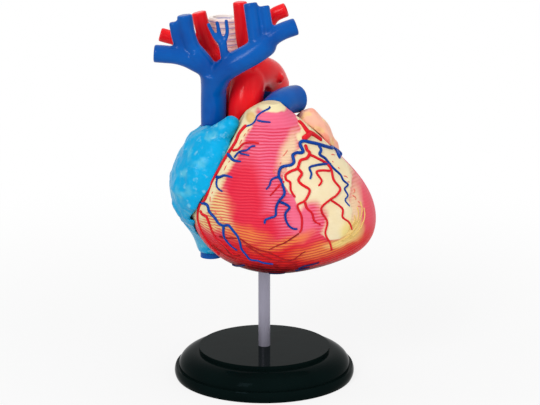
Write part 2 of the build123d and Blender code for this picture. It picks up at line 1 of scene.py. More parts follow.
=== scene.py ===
import math

import bmesh
import bpy
import numpy as np
from mathutils import Matrix, Vector, noise
from mathutils.bvhtree import BVHTree


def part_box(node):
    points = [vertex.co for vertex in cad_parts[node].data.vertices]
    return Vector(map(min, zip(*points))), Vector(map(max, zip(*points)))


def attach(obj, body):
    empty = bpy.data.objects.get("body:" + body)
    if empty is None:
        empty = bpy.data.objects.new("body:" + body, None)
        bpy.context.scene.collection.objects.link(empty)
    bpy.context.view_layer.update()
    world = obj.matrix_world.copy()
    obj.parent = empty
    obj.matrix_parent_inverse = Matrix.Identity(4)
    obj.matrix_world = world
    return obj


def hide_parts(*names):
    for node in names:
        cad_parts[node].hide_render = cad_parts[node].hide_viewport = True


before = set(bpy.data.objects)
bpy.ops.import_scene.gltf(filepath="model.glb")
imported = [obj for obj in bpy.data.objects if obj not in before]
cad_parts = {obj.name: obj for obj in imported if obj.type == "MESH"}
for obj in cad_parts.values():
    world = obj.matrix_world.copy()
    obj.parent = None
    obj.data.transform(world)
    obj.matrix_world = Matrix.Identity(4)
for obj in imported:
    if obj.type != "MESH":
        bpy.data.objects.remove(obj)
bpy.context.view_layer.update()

# Lengths are in metres, and mm turns a number of millimetres into them.
mm = 0.001

# The camera stands far off and looks a little down, as in the photograph. The lens and the
# width of its sensor are in millimetres.
camera_place = (0.0, -1050 * mm, 370 * mm)
camera_aim = (2.9 * mm, 0.0, 90 * mm)
camera_lens = 144.9
camera_sensor = 36.0
camera_near = 10 * mm

# Each lamp has a place, a width, a height, a power in watts, and True if glossy surfaces may
# mirror it. All of them aim at one spot.
lamp_aim = (0, 0, 110 * mm)
lamps = {
    "key": ((-450 * mm, -800 * mm, 700 * mm), 280 * mm, 600 * mm, 6.5, True),
    "fill": ((700 * mm, -600 * mm, 350 * mm), 500 * mm, 600 * mm, 3.0, False),
    "top": ((0, 200 * mm, 900 * mm), 700 * mm, 700 * mm, 2.6, False),
}

# The sky lights everything evenly. The floor glows less near the object, to keep its shadow.
sky_strength = 0.38
floor_reach = 3000 * mm
shadow_radius = 60 * mm
glow_radius = 420 * mm
shadow_glow = 0.84

# The grain is the distance between the points of a remeshed surface.
wall_grain = 0.6 * mm
atrium_grain = 0.6 * mm
vessel_grain = 0.45 * mm

# How many times a remeshed surface is evened out, and how much each time.
shell_rounds = 2
lobe_rounds = 6
vessel_rounds = 8
smooth_factor = 0.5

# Smooth webs of this radius fill the forks of the vessels.
vein_web = 0.35 * mm
artery_web = 1.0 * mm

# A ball rounds the shoulder where the left vein trunk ends.
shoulder_place = (0.4 * mm, -11.5 * mm, 171.9 * mm)
shoulder_radius = 5.7 * mm

# The aorta swells a little beside the upper vein. The swelling fades where the surface turns
# to the front, at the first share, and to the back, at the second.
swell_place = (-17 * mm, 3 * mm, 144 * mm)
swell_radius = 15 * mm
swell_height = 2.2 * mm
swell_fades = (0.7, 1.5)
swell_fade_rate = 2.0

# The lumps of the right atrium and of the left lobe. The surface moves out above a lump's
# middle height, and in below it.
atrium_lump_size = 7.0 * mm
atrium_lump_height = 1.3 * mm
atrium_lump_middle = 0.3
small_lump_size = 3.2 * mm
small_lump_share = 0.3
auricle_lump_size = 6.0 * mm
auricle_lump_height = 1.3 * mm
auricle_lump_middle = 0.5
lump_sharpness = 1.5

# The fat on the front wall, and the small knob at its top, placed by shares of the wall's box.
fat_height = 0.55 * mm
fat_lump_size = 5.0 * mm
fat_lump_share = 0.4
knob_share = (0.328, 0.934)
knob_radius = 2.2 * mm
knob_height = 1.1 * mm

# The vessels on the wall are tubes, raised by this share of their radius. Their round ends
# narrow down to the tip's share of the radius.
relief_rise_share = 0.25
relief_tip_share = 0.2
relief_step = 0.5 * mm
relief_sides = 10

# A spot is in a chamber when this share of the ways out of it meet a wall. The ways start clear
# of the skin and lead to the faces, edges and corners of a cube.
enclosed_share = 0.8
clear_of_skin = 0.6 * mm
steps = (-1, 0, 1)
ways_out = [Vector((x, y, z)).normalized()
            for x in steps for y in steps for z in steps if x or y or z]

# The halves of the ventricles and of the right atrium meet at these depths. A seam's faces are
# this near to it and look along the depth by this share.
wall_seam = -8 * mm
atrium_seam = -6 * mm
seam_reach = 0.6 * mm
seam_facing = 0.7

# Relief starts on faces that look this much outwards, and is full after the span.
outside_start = -0.05
outside_span = 0.25

# How strongly the painted surfaces mirror the room, and how strongly the black base does.
shine = 0.13
base_shine = 0.012

# The stripes of the muscle, which are fainter and flatter where it is plain, and the rings of
# the windpipe.
stripe_spacing = 1.45 * mm
stripe_depth = 0.16 * mm
stripe_strength = 0.74
plain_stripe_strength = 0.14
plain_depth_share = 0.15
ring_spacing = 2.9 * mm

# The wave texture turns by this many radians over one unit of its scale. The noise texture's
# values lie about a middle, nearly all of them in a range.
wave_radians = 20
noise_middle = (0.5, 0.5, 0.5)
noise_range = (0.3, 0.7)

# The rod's brushed lines are close together round it and long along it.
brush_scale = (8.0, 8.0, 0.15)

# Painted plastic wears smoother and rougher by these factors.
wear_factors = (0.85, 1.2)

# The sockets of the Mix node by number, since its number and colour sockets share their names.
mix_factor = 0
first_number, second_number = 2, 3
first_colour, second_colour = 6, 7
mixed_number = 0
mixed_colour = 2

front_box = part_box("ventricle_front_wall")
back_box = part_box("ventricle_back_wall")

# Routes on the front wall, from its left and lowest corner, as shares of its width and height.
# Each row has a route, its first radius and its last radius.
great_vein_shares = [
    (0.800, 0.672), (0.775, 0.712), (0.733, 0.742), (0.684, 0.770), (0.635, 0.791),
    (0.602, 0.803), (0.585, 0.789), (0.601, 0.748), (0.568, 0.745), (0.547, 0.733),
    (0.554, 0.699), (0.534, 0.683), (0.487, 0.672), (0.474, 0.628), (0.490, 0.593),
    (0.504, 0.537), (0.494, 0.512), (0.474, 0.487), (0.460, 0.451), (0.457, 0.409),
    (0.427, 0.394), (0.404, 0.383), (0.400, 0.358),
]
vein_routes = [
    (great_vein_shares, 1.00 * mm, 0.55 * mm),
    ([(0.474, 0.621), (0.454, 0.617), (0.434, 0.603), (0.427, 0.578), (0.407, 0.551)],
     0.60 * mm, 0.40 * mm),
    ([(0.480, 0.483), (0.507, 0.473), (0.530, 0.452), (0.510, 0.423), (0.510, 0.388),
      (0.527, 0.352), (0.551, 0.334), (0.574, 0.332)], 0.70 * mm, 0.50 * mm),
    ([(0.683, 0.767), (0.697, 0.741), (0.689, 0.722), (0.717, 0.698), (0.740, 0.668),
      (0.764, 0.639), (0.799, 0.602), (0.815, 0.571), (0.840, 0.544), (0.822, 0.526),
      (0.839, 0.489), (0.825, 0.466), (0.851, 0.428)], 0.80 * mm, 0.35 * mm),
    ([(0.751, 0.663), (0.716, 0.671), (0.669, 0.671), (0.635, 0.663), (0.645, 0.632),
      (0.638, 0.601)], 0.70 * mm, 0.50 * mm),
    ([(0.427, 0.995), (0.424, 0.985), (0.387, 0.965), (0.360, 0.942), (0.354, 0.925),
      (0.334, 0.901), (0.300, 0.884)], 0.50 * mm, 0.40 * mm),
    ([(0.360, 0.923), (0.394, 0.918), (0.434, 0.915)], 0.60 * mm, 0.40 * mm),
    ([(0.205, 0.735), (0.217, 0.719), (0.239, 0.700), (0.279, 0.697)], 1.00 * mm, 0.45 * mm),
    ([(0.239, 0.712), (0.268, 0.748), (0.306, 0.760), (0.332, 0.782), (0.354, 0.786)],
     0.55 * mm, 0.45 * mm),
    ([(0.268, 0.741), (0.322, 0.733)], 0.50 * mm, 0.35 * mm),
    ([(0.143, 0.602), (0.159, 0.598), (0.191, 0.613), (0.233, 0.608)], 0.85 * mm, 0.45 * mm),
    ([(0.152, 0.598), (0.147, 0.557), (0.159, 0.535), (0.181, 0.524)], 0.60 * mm, 0.45 * mm),
    ([(0.061, 0.443), (0.097, 0.436), (0.110, 0.400), (0.139, 0.369), (0.158, 0.341),
      (0.184, 0.331), (0.210, 0.337), (0.235, 0.308), (0.260, 0.273), (0.273, 0.229),
      (0.279, 0.199), (0.305, 0.161), (0.324, 0.135), (0.366, 0.131), (0.393, 0.119),
      (0.447, 0.113)], 0.80 * mm, 0.45 * mm),
    ([(0.184, 0.328), (0.186, 0.267), (0.215, 0.219), (0.257, 0.184)], 0.75 * mm, 0.40 * mm),
]
low_vein_routes = [
    ([(0.225, 0.060), (0.252, 0.061), (0.295, 0.090)], 0.60 * mm, 0.50 * mm),
    ([(0.576, 0.076), (0.610, 0.095), (0.637, 0.100), (0.691, 0.115)], 0.50 * mm, 0.35 * mm),
    ([(0.560, 0.060), (0.600, 0.070), (0.640, 0.078)], 0.60 * mm, 0.40 * mm),
    ([(0.420, 0.030), (0.470, 0.026), (0.510, 0.034)], 0.50 * mm, 0.35 * mm),
]
artery_routes = [
    ([(0.306, 0.895), (0.268, 0.845), (0.249, 0.798), (0.217, 0.745), (0.184, 0.687),
      (0.152, 0.624), (0.120, 0.561), (0.097, 0.492), (0.081, 0.458), (0.060, 0.431),
      (0.050, 0.398), (0.045, 0.352), (0.050, 0.310), (0.070, 0.250), (0.105, 0.190),
      (0.160, 0.125)], 0.80 * mm, 0.60 * mm),
    ([(0.229, 0.749), (0.261, 0.760), (0.287, 0.791), (0.325, 0.804), (0.373, 0.801)],
     0.65 * mm, 0.40 * mm),
    ([(0.060, 0.398), (0.070, 0.376), (0.093, 0.367), (0.106, 0.333), (0.125, 0.277),
      (0.150, 0.235), (0.182, 0.212), (0.214, 0.177), (0.240, 0.149)], 0.75 * mm, 0.45 * mm),
    ([(0.576, 0.905), (0.596, 0.882), (0.623, 0.844), (0.636, 0.832), (0.622, 0.822),
      (0.597, 0.813)], 0.90 * mm, 1.50 * mm),
    ([(0.623, 0.838), (0.645, 0.828), (0.672, 0.806), (0.703, 0.778)], 1.40 * mm, 1.00 * mm),
    ([(0.612, 0.785), (0.622, 0.755), (0.635, 0.737), (0.621, 0.713), (0.588, 0.704),
      (0.571, 0.665), (0.541, 0.653), (0.510, 0.634), (0.514, 0.606), (0.534, 0.591),
      (0.537, 0.550), (0.561, 0.506)], 0.85 * mm, 0.50 * mm),
    ([(0.574, 0.664), (0.594, 0.636), (0.577, 0.603), (0.594, 0.578), (0.634, 0.548),
      (0.628, 0.517), (0.608, 0.486), (0.577, 0.470), (0.574, 0.450), (0.594, 0.399),
      (0.594, 0.335), (0.581, 0.308)], 0.75 * mm, 0.45 * mm),
    ([(0.611, 0.483), (0.621, 0.447), (0.648, 0.417), (0.661, 0.374), (0.695, 0.350)],
     0.65 * mm, 0.45 * mm),
    ([(0.635, 0.730), (0.676, 0.706), (0.723, 0.673), (0.750, 0.636), (0.763, 0.583),
      (0.797, 0.532), (0.777, 0.500), (0.749, 0.484), (0.702, 0.449), (0.702, 0.414),
      (0.729, 0.362), (0.719, 0.298), (0.743, 0.242), (0.756, 0.186)], 0.70 * mm, 0.45 * mm),
    ([(0.747, 0.631), (0.702, 0.641), (0.672, 0.635), (0.699, 0.588), (0.682, 0.561)],
     0.65 * mm, 0.50 * mm),
    ([(0.749, 0.477), (0.783, 0.451), (0.811, 0.420), (0.811, 0.378), (0.845, 0.344),
      (0.863, 0.295)], 0.60 * mm, 0.45 * mm),
    ([(0.504, 0.600), (0.474, 0.572), (0.427, 0.515)], 0.55 * mm, 0.35 * mm),
]
fine_red_routes = [
    ([(0.752, 0.707), (0.774, 0.698)], 0.30 * mm, 0.20 * mm),
    ([(0.756, 0.676), (0.765, 0.668)], 0.35 * mm, 0.20 * mm),
    ([(0.787, 0.641), (0.797, 0.631)], 0.35 * mm, 0.20 * mm),
    ([(0.817, 0.592), (0.833, 0.585), (0.840, 0.577)], 0.30 * mm, 0.20 * mm),
    ([(0.838, 0.561), (0.851, 0.553)], 0.30 * mm, 0.20 * mm),
    ([(0.872, 0.516), (0.878, 0.500), (0.870, 0.493)], 0.35 * mm, 0.20 * mm),
    ([(0.864, 0.483), (0.881, 0.468), (0.884, 0.453)], 0.35 * mm, 0.20 * mm),
    ([(0.894, 0.446), (0.909, 0.428)], 0.30 * mm, 0.20 * mm),
    ([(0.892, 0.420), (0.916, 0.409)], 0.30 * mm, 0.20 * mm),
    ([(0.521, 0.765), (0.511, 0.748), (0.494, 0.729)], 0.25 * mm, 0.20 * mm),
    ([(0.487, 0.703), (0.480, 0.686)], 0.25 * mm, 0.20 * mm),
    ([(0.457, 0.669), (0.447, 0.652), (0.454, 0.634)], 0.25 * mm, 0.20 * mm),
    ([(0.324, 0.877), (0.310, 0.861)], 0.30 * mm, 0.20 * mm),
    ([(0.301, 0.850), (0.290, 0.830)], 0.30 * mm, 0.20 * mm),
    ([(0.282, 0.815), (0.268, 0.786)], 0.30 * mm, 0.20 * mm),
    ([(0.220, 0.697), (0.209, 0.682)], 0.30 * mm, 0.20 * mm),
    ([(0.200, 0.668), (0.186, 0.638)], 0.30 * mm, 0.20 * mm),
    ([(0.130, 0.517), (0.120, 0.503)], 0.30 * mm, 0.20 * mm),
    ([(0.113, 0.487), (0.113, 0.455)], 0.30 * mm, 0.20 * mm),
    ([(0.136, 0.408), (0.150, 0.392)], 0.45 * mm, 0.20 * mm),
    ([(0.160, 0.382), (0.190, 0.355)], 0.35 * mm, 0.20 * mm),
]
dark_routes = [
    ([(0.266, 0.268), (0.319, 0.230), (0.366, 0.206), (0.414, 0.194), (0.454, 0.174),
      (0.501, 0.149), (0.548, 0.146), (0.595, 0.182), (0.615, 0.197)], 0.40 * mm, 0.25 * mm),
    ([(0.299, 0.228), (0.366, 0.185), (0.407, 0.160), (0.461, 0.140), (0.515, 0.133),
      (0.568, 0.150)], 0.40 * mm, 0.25 * mm),
    ([(0.581, 0.308), (0.541, 0.278), (0.501, 0.250), (0.460, 0.231), (0.420, 0.206)],
     0.40 * mm, 0.25 * mm),
    ([(0.157, 0.260), (0.189, 0.256), (0.228, 0.262), (0.254, 0.263)], 0.50 * mm, 0.30 * mm),
    ([(0.157, 0.229), (0.189, 0.196), (0.214, 0.159), (0.240, 0.147), (0.273, 0.156)],
     0.40 * mm, 0.25 * mm),
    ([(0.060, 0.255), (0.075, 0.226), (0.096, 0.193), (0.136, 0.168), (0.175, 0.149)],
     0.40 * mm, 0.25 * mm),
    ([(0.123, 0.191), (0.162, 0.163), (0.201, 0.134), (0.253, 0.126)], 0.35 * mm, 0.25 * mm),
]
pale_routes = [
    ([(0.908, 0.440), (0.917, 0.392), (0.905, 0.342), (0.880, 0.297), (0.848, 0.268)],
     0.35 * mm, 0.20 * mm),
    ([(0.889, 0.418), (0.898, 0.378), (0.888, 0.337), (0.866, 0.304)], 0.35 * mm, 0.20 * mm),
    ([(0.874, 0.378), (0.879, 0.346), (0.864, 0.316), (0.842, 0.296)], 0.35 * mm, 0.20 * mm),
    ([(0.928, 0.402), (0.931, 0.352), (0.914, 0.304), (0.886, 0.268), (0.846, 0.241)],
     0.35 * mm, 0.20 * mm),
    ([(0.862, 0.262), (0.836, 0.256), (0.806, 0.236)], 0.35 * mm, 0.20 * mm),
]

# Routes on the back wall, from its left and lowest corner as seen from the front. The
# photograph doesn't show them.
back_vein_routes = [
    ([(0.810, 0.680), (0.760, 0.700), (0.660, 0.705), (0.540, 0.690), (0.450, 0.640)],
     1.20 * mm, 2.00 * mm),
    ([(0.560, 0.690), (0.575, 0.610), (0.560, 0.520), (0.590, 0.430), (0.580, 0.330),
      (0.610, 0.230)], 1.00 * mm, 0.50 * mm),
    ([(0.760, 0.690), (0.740, 0.600), (0.770, 0.510), (0.745, 0.420), (0.770, 0.330)],
     0.85 * mm, 0.45 * mm),
    ([(0.575, 0.500), (0.520, 0.450), (0.500, 0.370), (0.460, 0.320)], 0.65 * mm, 0.40 * mm),
    ([(0.745, 0.440), (0.700, 0.390), (0.700, 0.310)], 0.60 * mm, 0.40 * mm),
]
back_artery_routes = [
    ([(0.440, 0.600), (0.500, 0.640), (0.530, 0.600), (0.535, 0.520), (0.560, 0.440),
      (0.545, 0.350), (0.575, 0.260), (0.570, 0.190)], 0.95 * mm, 0.45 * mm),
    ([(0.535, 0.540), (0.480, 0.500), (0.450, 0.430), (0.410, 0.390)], 0.65 * mm, 0.40 * mm),
    ([(0.555, 0.450), (0.610, 0.410), (0.640, 0.340), (0.680, 0.290)], 0.60 * mm, 0.40 * mm),
    ([(0.660, 0.680), (0.760, 0.650), (0.820, 0.580), (0.800, 0.500), (0.825, 0.430),
      (0.800, 0.370)], 0.80 * mm, 0.45 * mm),
    ([(0.810, 0.550), (0.770, 0.480), (0.765, 0.410)], 0.60 * mm, 0.40 * mm),
]

# Zones of the front wall's paint as upright ellipses, each with its middle, its half width and
# half height as shares of the same box, and its turn in degrees.
cream_patch_zone = [
    (0.665, 0.68, 0.115, 0.13, 20), (0.71, 0.54, 0.145, 0.18, 25), (0.765, 0.38, 0.095, 0.13, 0),
    (0.565, 0.61, 0.070, 0.085, 0),
]
patch_gap_zone = [(0.645, 0.370, 0.080, 0.112, 12)]
fringe_zone = [
    (0.81, 0.57, 0.05, 0.16, 35), (0.87, 0.40, 0.04, 0.14, 5), (0.525, 0.75, 0.035, 0.11, 22),
]
cone_fat_zone = [
    (0.46, 1.01, 0.13, 0.045, 0), (0.60, 0.90, 0.025, 0.11, -20), (0.64, 0.81, 0.07, 0.045, 30),
    (0.31, 0.94, 0.02, 0.06, 27),
]
left_fat_zone = [
    (0.10, 0.42, 0.12, 0.13, 10), (0.16, 0.62, 0.04, 0.24, 27), (0.12, 0.34, 0.11, 0.05, 0),
]
knob_zone = [(*knob_share, 0.026, 0.028, 0)]
sand_zone = [(0.86, 0.29, 0.055, 0.06, 0), (0.81, 0.235, 0.08, 0.03, -10)]
deep_red_zone = [(0.29, 0.50, 0.11, 0.22, 0), (0.34, 0.34, 0.14, 0.09, 0)]
mauve_zone = [(0.59, 0.41, 0.06, 0.16, -10), (0.47, 0.93, 0.12, 0.05, 0)]
flank_zone = [(1.02, 0.50, 0.13, 0.36, 12)]
orange_zone = [
    (0.29, 0.29, 0.12, 0.05, 10), (0.72, 0.20, 0.16, 0.045, -10), (0.50, 0.25, 0.14, 0.03, -18),
]

# A zone reaches right through the wall: its half depth as a share of the box's depth.
zone_depth_share = 100

# Bands of height on the wall, as shares of its height, where one look gives way to the next.
# The bottom band is where the painted shade on the underside fades out.
shaded_bottom_band = (0.05, 0.13)
lower_band = (0.20, 0.36)
upper_band = (0.25, 0.38)
dark_stripe_band = (0.0, 0.30)
patch_foot_band = (0.245, 0.262)

# Low on the wall the stripes bend like a bowl: its middle, and how many millimetres it rises
# for each squared millimetre to the side.
bowl_middle = 5 * mm
bowl_bend = 0.0056

# The slanted edge that faces the right atrium, as two places of the same box, and its pale rim.
edge_shares = [(0.014, 0.351), (0.286, 0.910)]
rim_width = 3.2 * mm
rim_fade = 2.6 * mm


def linear(channel):
    """One sRGB channel from 0 to 1 as the linear value that the shaders take."""
    return channel / 12.92 if channel <= 0.04045 else ((channel + 0.055) / 1.055) ** 2.4


def colour(code):
    """A colour written as six hexadecimal digits, as linear red, green, blue and alpha."""
    return [linear(int(code[i:i + 2], 16) / 255) for i in (0, 2, 4)] + [1.0]


def node(tree, kind, inputs, **settings):
    """A new node of a material, with its inputs set to values or joined to other nodes."""
    made = tree.nodes.new("ShaderNode" + kind)
    for name, value in settings.items():
        setattr(made, name, value)
    for name, value in inputs.items():
        if isinstance(value, bpy.types.NodeSocket):
            tree.links.new(value, made.inputs[name])
        else:
            made.inputs[name].default_value = value
    return made


def new_paint(name, roughness=0.5):
    """A material with its tree, its shader and the surface's place in millimetres at rest."""
    material = bpy.data.materials.new(name)
    material.use_nodes = True
    tree = material.node_tree
    shader = tree.nodes["Principled BSDF"]
    shader.inputs["Roughness"].default_value = roughness
    shader.inputs["Specular IOR Level"].default_value = shine
    place = node(tree, "TexCoord", {}).outputs["Object"]
    place = node(tree, "VectorMath", {0: place, "Scale": 1 / mm}, operation="SCALE").outputs[0]
    return material, tree, shader, place


def mix(tree, factor, first, second):
    """Two colours mixed by a factor from 0 to 1."""
    inputs = {mix_factor: factor, first_colour: first, second_colour: second}
    return node(tree, "Mix", inputs, data_type="RGBA").outputs[mixed_colour]


def mix_value(tree, factor, first, second):
    """Two numbers mixed by a factor from 0 to 1."""
    inputs = {mix_factor: factor, first_number: first, second_number: second}
    return node(tree, "Mix", inputs, data_type="FLOAT").outputs[mixed_number]


def times(tree, first, second):
    """Two numbers multiplied."""
    return node(tree, "Math", {0: first, 1: second}, operation="MULTIPLY").outputs[0]


def greater(tree, first, second):
    """The greater of two numbers."""
    return node(tree, "Math", {0: first, 1: second}, operation="MAXIMUM").outputs[0]


def laid_over(tree, base, mask, code, strength=1.0):
    """A base with a colour laid over it where a mask is 1, at a strength from 0 to 1."""
    return mix(tree, times(tree, mask, strength), base, colour(code))


def map_range(tree, value, low, high, to_low=0.0, to_high=1.0):
    """A value taken smoothly from one range to another."""
    inputs = {"Value": value, "From Min": low, "From Max": high, "To Min": to_low, "To Max": to_high}
    return node(tree, "MapRange", inputs, interpolation_type="SMOOTHSTEP").outputs["Result"]


def mottle(tree, place, size, detail=2.0):
    """Soft noise from 0 to 1 with spots of about the given size in millimetres."""
    return node(tree, "TexNoise", {"Vector": place, "Scale": 1 / size, "Detail": detail}).outputs[0]


def bump(tree, shader, height, depth):
    """Raises the surface's shading by a height from 0 to 1 times a depth in metres."""
    made = node(tree, "Bump", {"Height": height, "Distance": depth})
    tree.links.new(made.outputs["Normal"], shader.inputs["Normal"])


def vary_roughness(tree, shader, spots, least, most):
    """Makes the roughness change softly between two values, by noise."""
    varied = map_range(tree, spots, *noise_range, to_low=least, to_high=most)
    tree.links.new(varied, shader.inputs["Roughness"])


def wavy(tree, place, size, reach):
    """The place moved about by noise, so that the edges of zones wander."""
    shift = node(tree, "TexNoise", {"Vector": place, "Scale": 1 / size, "Detail": 2.0}).outputs[1]
    centred = node(tree, "VectorMath", {0: shift, 1: noise_middle}, operation="SUBTRACT")
    scaled = node(tree, "VectorMath", {0: centred.outputs[0], "Scale": reach}, operation="SCALE")
    return node(tree, "VectorMath", {0: place, 1: scaled.outputs[0]}, operation="ADD").outputs[0]


def ellipse(tree, place, box, zone):
    """How far a place is from the middle of one ellipse, with 1 at the ellipse's edge."""
    across, up, half_width, half_height, turn = zone
    low, high = box
    size = (high - low) / mm
    low = low / mm
    inputs = {
        "Vector": place,
        "Location": (low.x + across * size.x, 0, low.z + up * size.z),
        "Rotation": (0, math.radians(turn), 0),
        "Scale": (half_width * size.x, zone_depth_share * size.y, half_height * size.z),
    }
    mapped = node(tree, "Mapping", inputs, vector_type="TEXTURE").outputs[0]
    return node(tree, "VectorMath", {0: mapped}, operation="LENGTH").outputs["Value"]


def zone_mask(tree, place, box, zones, soft):
    """1 inside a group of ellipses and 0 outside, with an edge of the given softness."""
    nearest = ellipse(tree, place, box, zones[0])
    for zone in zones[1:]:
        inputs = {0: nearest, 1: ellipse(tree, place, box, zone)}
        nearest = node(tree, "Math", inputs, operation="MINIMUM").outputs[0]
    return map_range(tree, nearest, 1 - soft, 1 + soft, to_low=1.0, to_high=0.0)


def height_mask(tree, place, box, band):
    """0 below a band of heights and 1 above it, with the band as shares of the box's height."""
    low, high = box
    foot, head = [(low.z + share * (high.z - low.z)) / mm for share in band]
    up = node(tree, "SeparateXYZ", {"Vector": place}).outputs["Z"]
    return map_range(tree, up, foot, head)


def edge_distance(tree, place, box):
    """How far a place is from the slanted edge, in millimetres, towards the wall."""
    low, high = box
    size = high - low
    first, last = [Vector((low.x + a * size.x, 0, low.z + b * size.z)) / mm for a, b in edge_shares]
    run = (last - first).normalized()
    side = Vector((run.z, 0, -run.x))
    shifted = node(tree, "VectorMath", {0: place, 1: first}, operation="SUBTRACT").outputs[0]
    return node(tree, "VectorMath", {0: shifted, 1: side}, operation="DOT_PRODUCT").outputs["Value"]


def bowl(tree, place):
    """The place with its height bent, so that level lines on it curve up at both sides."""
    parts = node(tree, "SeparateXYZ", {"Vector": place}).outputs
    aside = node(tree, "Math", {0: parts["X"], 1: bowl_middle / mm}, operation="SUBTRACT").outputs[0]
    square = node(tree, "Math", {0: aside, 1: aside}, operation="MULTIPLY").outputs[0]
    rise = node(tree, "Math", {0: square, 1: bowl_bend}, operation="MULTIPLY").outputs[0]
    level = node(tree, "Math", {0: parts["Z"], 1: rise}, operation="SUBTRACT").outputs[0]
    return node(tree, "CombineXYZ", {"X": parts["X"], "Y": parts["Y"], "Z": level}).outputs[0]


def stripes(tree, place, spacing, wander=3.0):
    """Fine level stripes with the given spacing in metres, from 0 to 1."""
    inputs = {
        "Vector": place,
        "Scale": 2 * math.pi / (wave_radians * spacing / mm),
        "Distortion": wander,
        "Detail": 2.0,
        "Detail Scale": 0.6,
    }
    return node(tree, "TexWave", inputs, bands_direction="Z").outputs[1]


def muscle_base(tree, place, box):
    """The colour of the muscle before its stripes: pink, red and orange, with painted shade darkening
    the underside.
    """
    base = mix(tree, mottle(tree, place, size=12.0), colour("EC7690"), colour("E65C80"))
    base = laid_over(tree, base, zone_mask(tree, place, box, deep_red_zone, soft=0.40), "E22641")
    base = laid_over(tree, base, zone_mask(tree, place, box, flank_zone, soft=0.55), "EA5868")
    base = mix(tree, height_mask(tree, place, box, lower_band), colour("DC1E1C"), base)
    base = laid_over(tree, base, zone_mask(tree, place, box, orange_zone, soft=0.60), "EA8444")
    # Painted shade: the underside is darkened to a nearly black red, with a ragged edge.
    ragged_shade_place = wavy(tree, place, size=3.0, reach=7.0)
    base = mix(tree, height_mask(tree, ragged_shade_place, box, shaded_bottom_band), colour("3C060A"), base)
    return laid_over(tree, base, zone_mask(tree, place, box, left_fat_zone, soft=0.35), "ECC987")


def striped(tree, loose, box, base, lines, plain):
    """The muscle's colour with dark stripes on it, which are faint where it is plain."""
    strength = map_range(tree, plain, 0.0, 1.0, stripe_strength, plain_stripe_strength)
    stripe = map_range(tree, lines, low=0.42, high=0.74)
    band = height_mask(tree, loose, box, dark_stripe_band)
    dark = mix(tree, band, colour("9C1418"), colour("D41C3C"))
    return mix(tree, times(tree, stripe, strength), base, dark)


def smooth_fat(tree, loose, box, upper):
    """A mask of the smooth fat at the top and along the slanted edge."""
    top = zone_mask(tree, loose, box, cone_fat_zone, soft=0.18)
    distance = edge_distance(tree, loose, box)
    rim_end = (rim_width + rim_fade) / mm
    rim = map_range(tree, distance, rim_width / mm, rim_end, to_low=1.0, to_high=0.0)
    return times(tree, greater(tree, top, rim), upper)


def front_fat(tree, place, loose, box, upper, base):
    """The front wall's colour with its fat laid over it, and a mask of the cream patch."""
    fringe = times(tree, zone_mask(tree, loose, box, fringe_zone, soft=0.6), upper)
    base = laid_over(tree, base, fringe, "EBD2A8", strength=0.85)
    patch_place = wavy(tree, place, size=5.0, reach=4.0)
    patch = zone_mask(tree, patch_place, box, cream_patch_zone, soft=0.05)
    patch = times(tree, patch, height_mask(tree, place, box, patch_foot_band))
    gap_place = wavy(tree, place, size=5.0, reach=3.0)
    gap = zone_mask(tree, gap_place, box, patch_gap_zone, soft=0.25)
    patch = mix_value(tree, gap, patch, 0.0)
    cream = mix(tree, mottle(tree, place, size=6.0), colour("EDE0BE"), colour("E6D2A4"))
    base = mix(tree, patch, base, cream)
    sand = zone_mask(tree, loose, box, sand_zone, soft=0.5)
    base = laid_over(tree, base, sand, "EED684", strength=0.85)
    knob = zone_mask(tree, place, box, knob_zone, soft=0.3)
    return laid_over(tree, base, knob, "DDB878"), patch


def muscle_paint(name, box, with_patch):
    """The painted muscle wall: pink and red stripes, with cream and yellow fat."""
    material, tree, shader, place = new_paint(name, roughness=0.42)
    loose = wavy(tree, place, size=9.0, reach=5.0)
    upper = height_mask(tree, place, box, upper_band)
    bent = stripes(tree, bowl(tree, place), stripe_spacing)
    lines = mix_value(tree, upper, bent, stripes(tree, place, stripe_spacing))
    mauve = zone_mask(tree, loose, box, mauve_zone, soft=0.4)
    plain = greater(tree, mauve, zone_mask(tree, loose, box, flank_zone, soft=0.4))
    base = striped(tree, loose, box, muscle_base(tree, loose, box), lines, plain)
    smooth = smooth_fat(tree, loose, box, upper)
    base = laid_over(tree, base, smooth, "EBDCAE")
    if with_patch:
        base, patch = front_fat(tree, place, loose, box, upper, base)
        smooth = greater(tree, smooth, patch)
    tree.links.new(base, shader.inputs["Base Color"])
    depth = map_range(tree, greater(tree, smooth, plain), 0.0, 1.0, 1.0, plain_depth_share)
    bump(tree, shader, times(tree, lines, depth), stripe_depth)
    return material


def plastic_paint(name, main, shade, roughness, grain=3.0, depth=0.05 * mm):
    """Painted plastic with a soft change of shade and a slightly uneven skin."""
    material, tree, shader, place = new_paint(name)
    spots = map_range(tree, mottle(tree, place, size=14.0), low=0.35, high=0.75)
    tree.links.new(mix(tree, spots, colour(main), colour(shade)), shader.inputs["Base Color"])
    bump(tree, shader, mottle(tree, place, grain), depth)
    least, most = [roughness * factor for factor in wear_factors]
    vary_roughness(tree, shader, mottle(tree, place, size=5.0), least, most)
    return material


def atrium_paint():
    """Light blue plastic with pale patches of painted highlight."""
    material, tree, shader, place = new_paint("light_blue_plastic", roughness=0.33)
    base = mix(tree, mottle(tree, place, size=18.0), colour("009AD2"), colour("00AEE2"))
    loose = wavy(tree, place, size=4.0, reach=2.0)
    # Painted highlight: large and small pale patches laid over the blue.
    pale = map_range(tree, mottle(tree, loose, size=8.0), low=0.50, high=0.72)
    small = map_range(tree, mottle(tree, loose, size=3.6), low=0.58, high=0.76)
    base = laid_over(tree, base, pale, "5CC0DC", strength=0.8)
    base = laid_over(tree, base, small, "98D4E4", strength=0.5)
    tree.links.new(base, shader.inputs["Base Color"])
    bump(tree, shader, mottle(tree, place, size=2.5), depth=0.25 * mm)
    return material


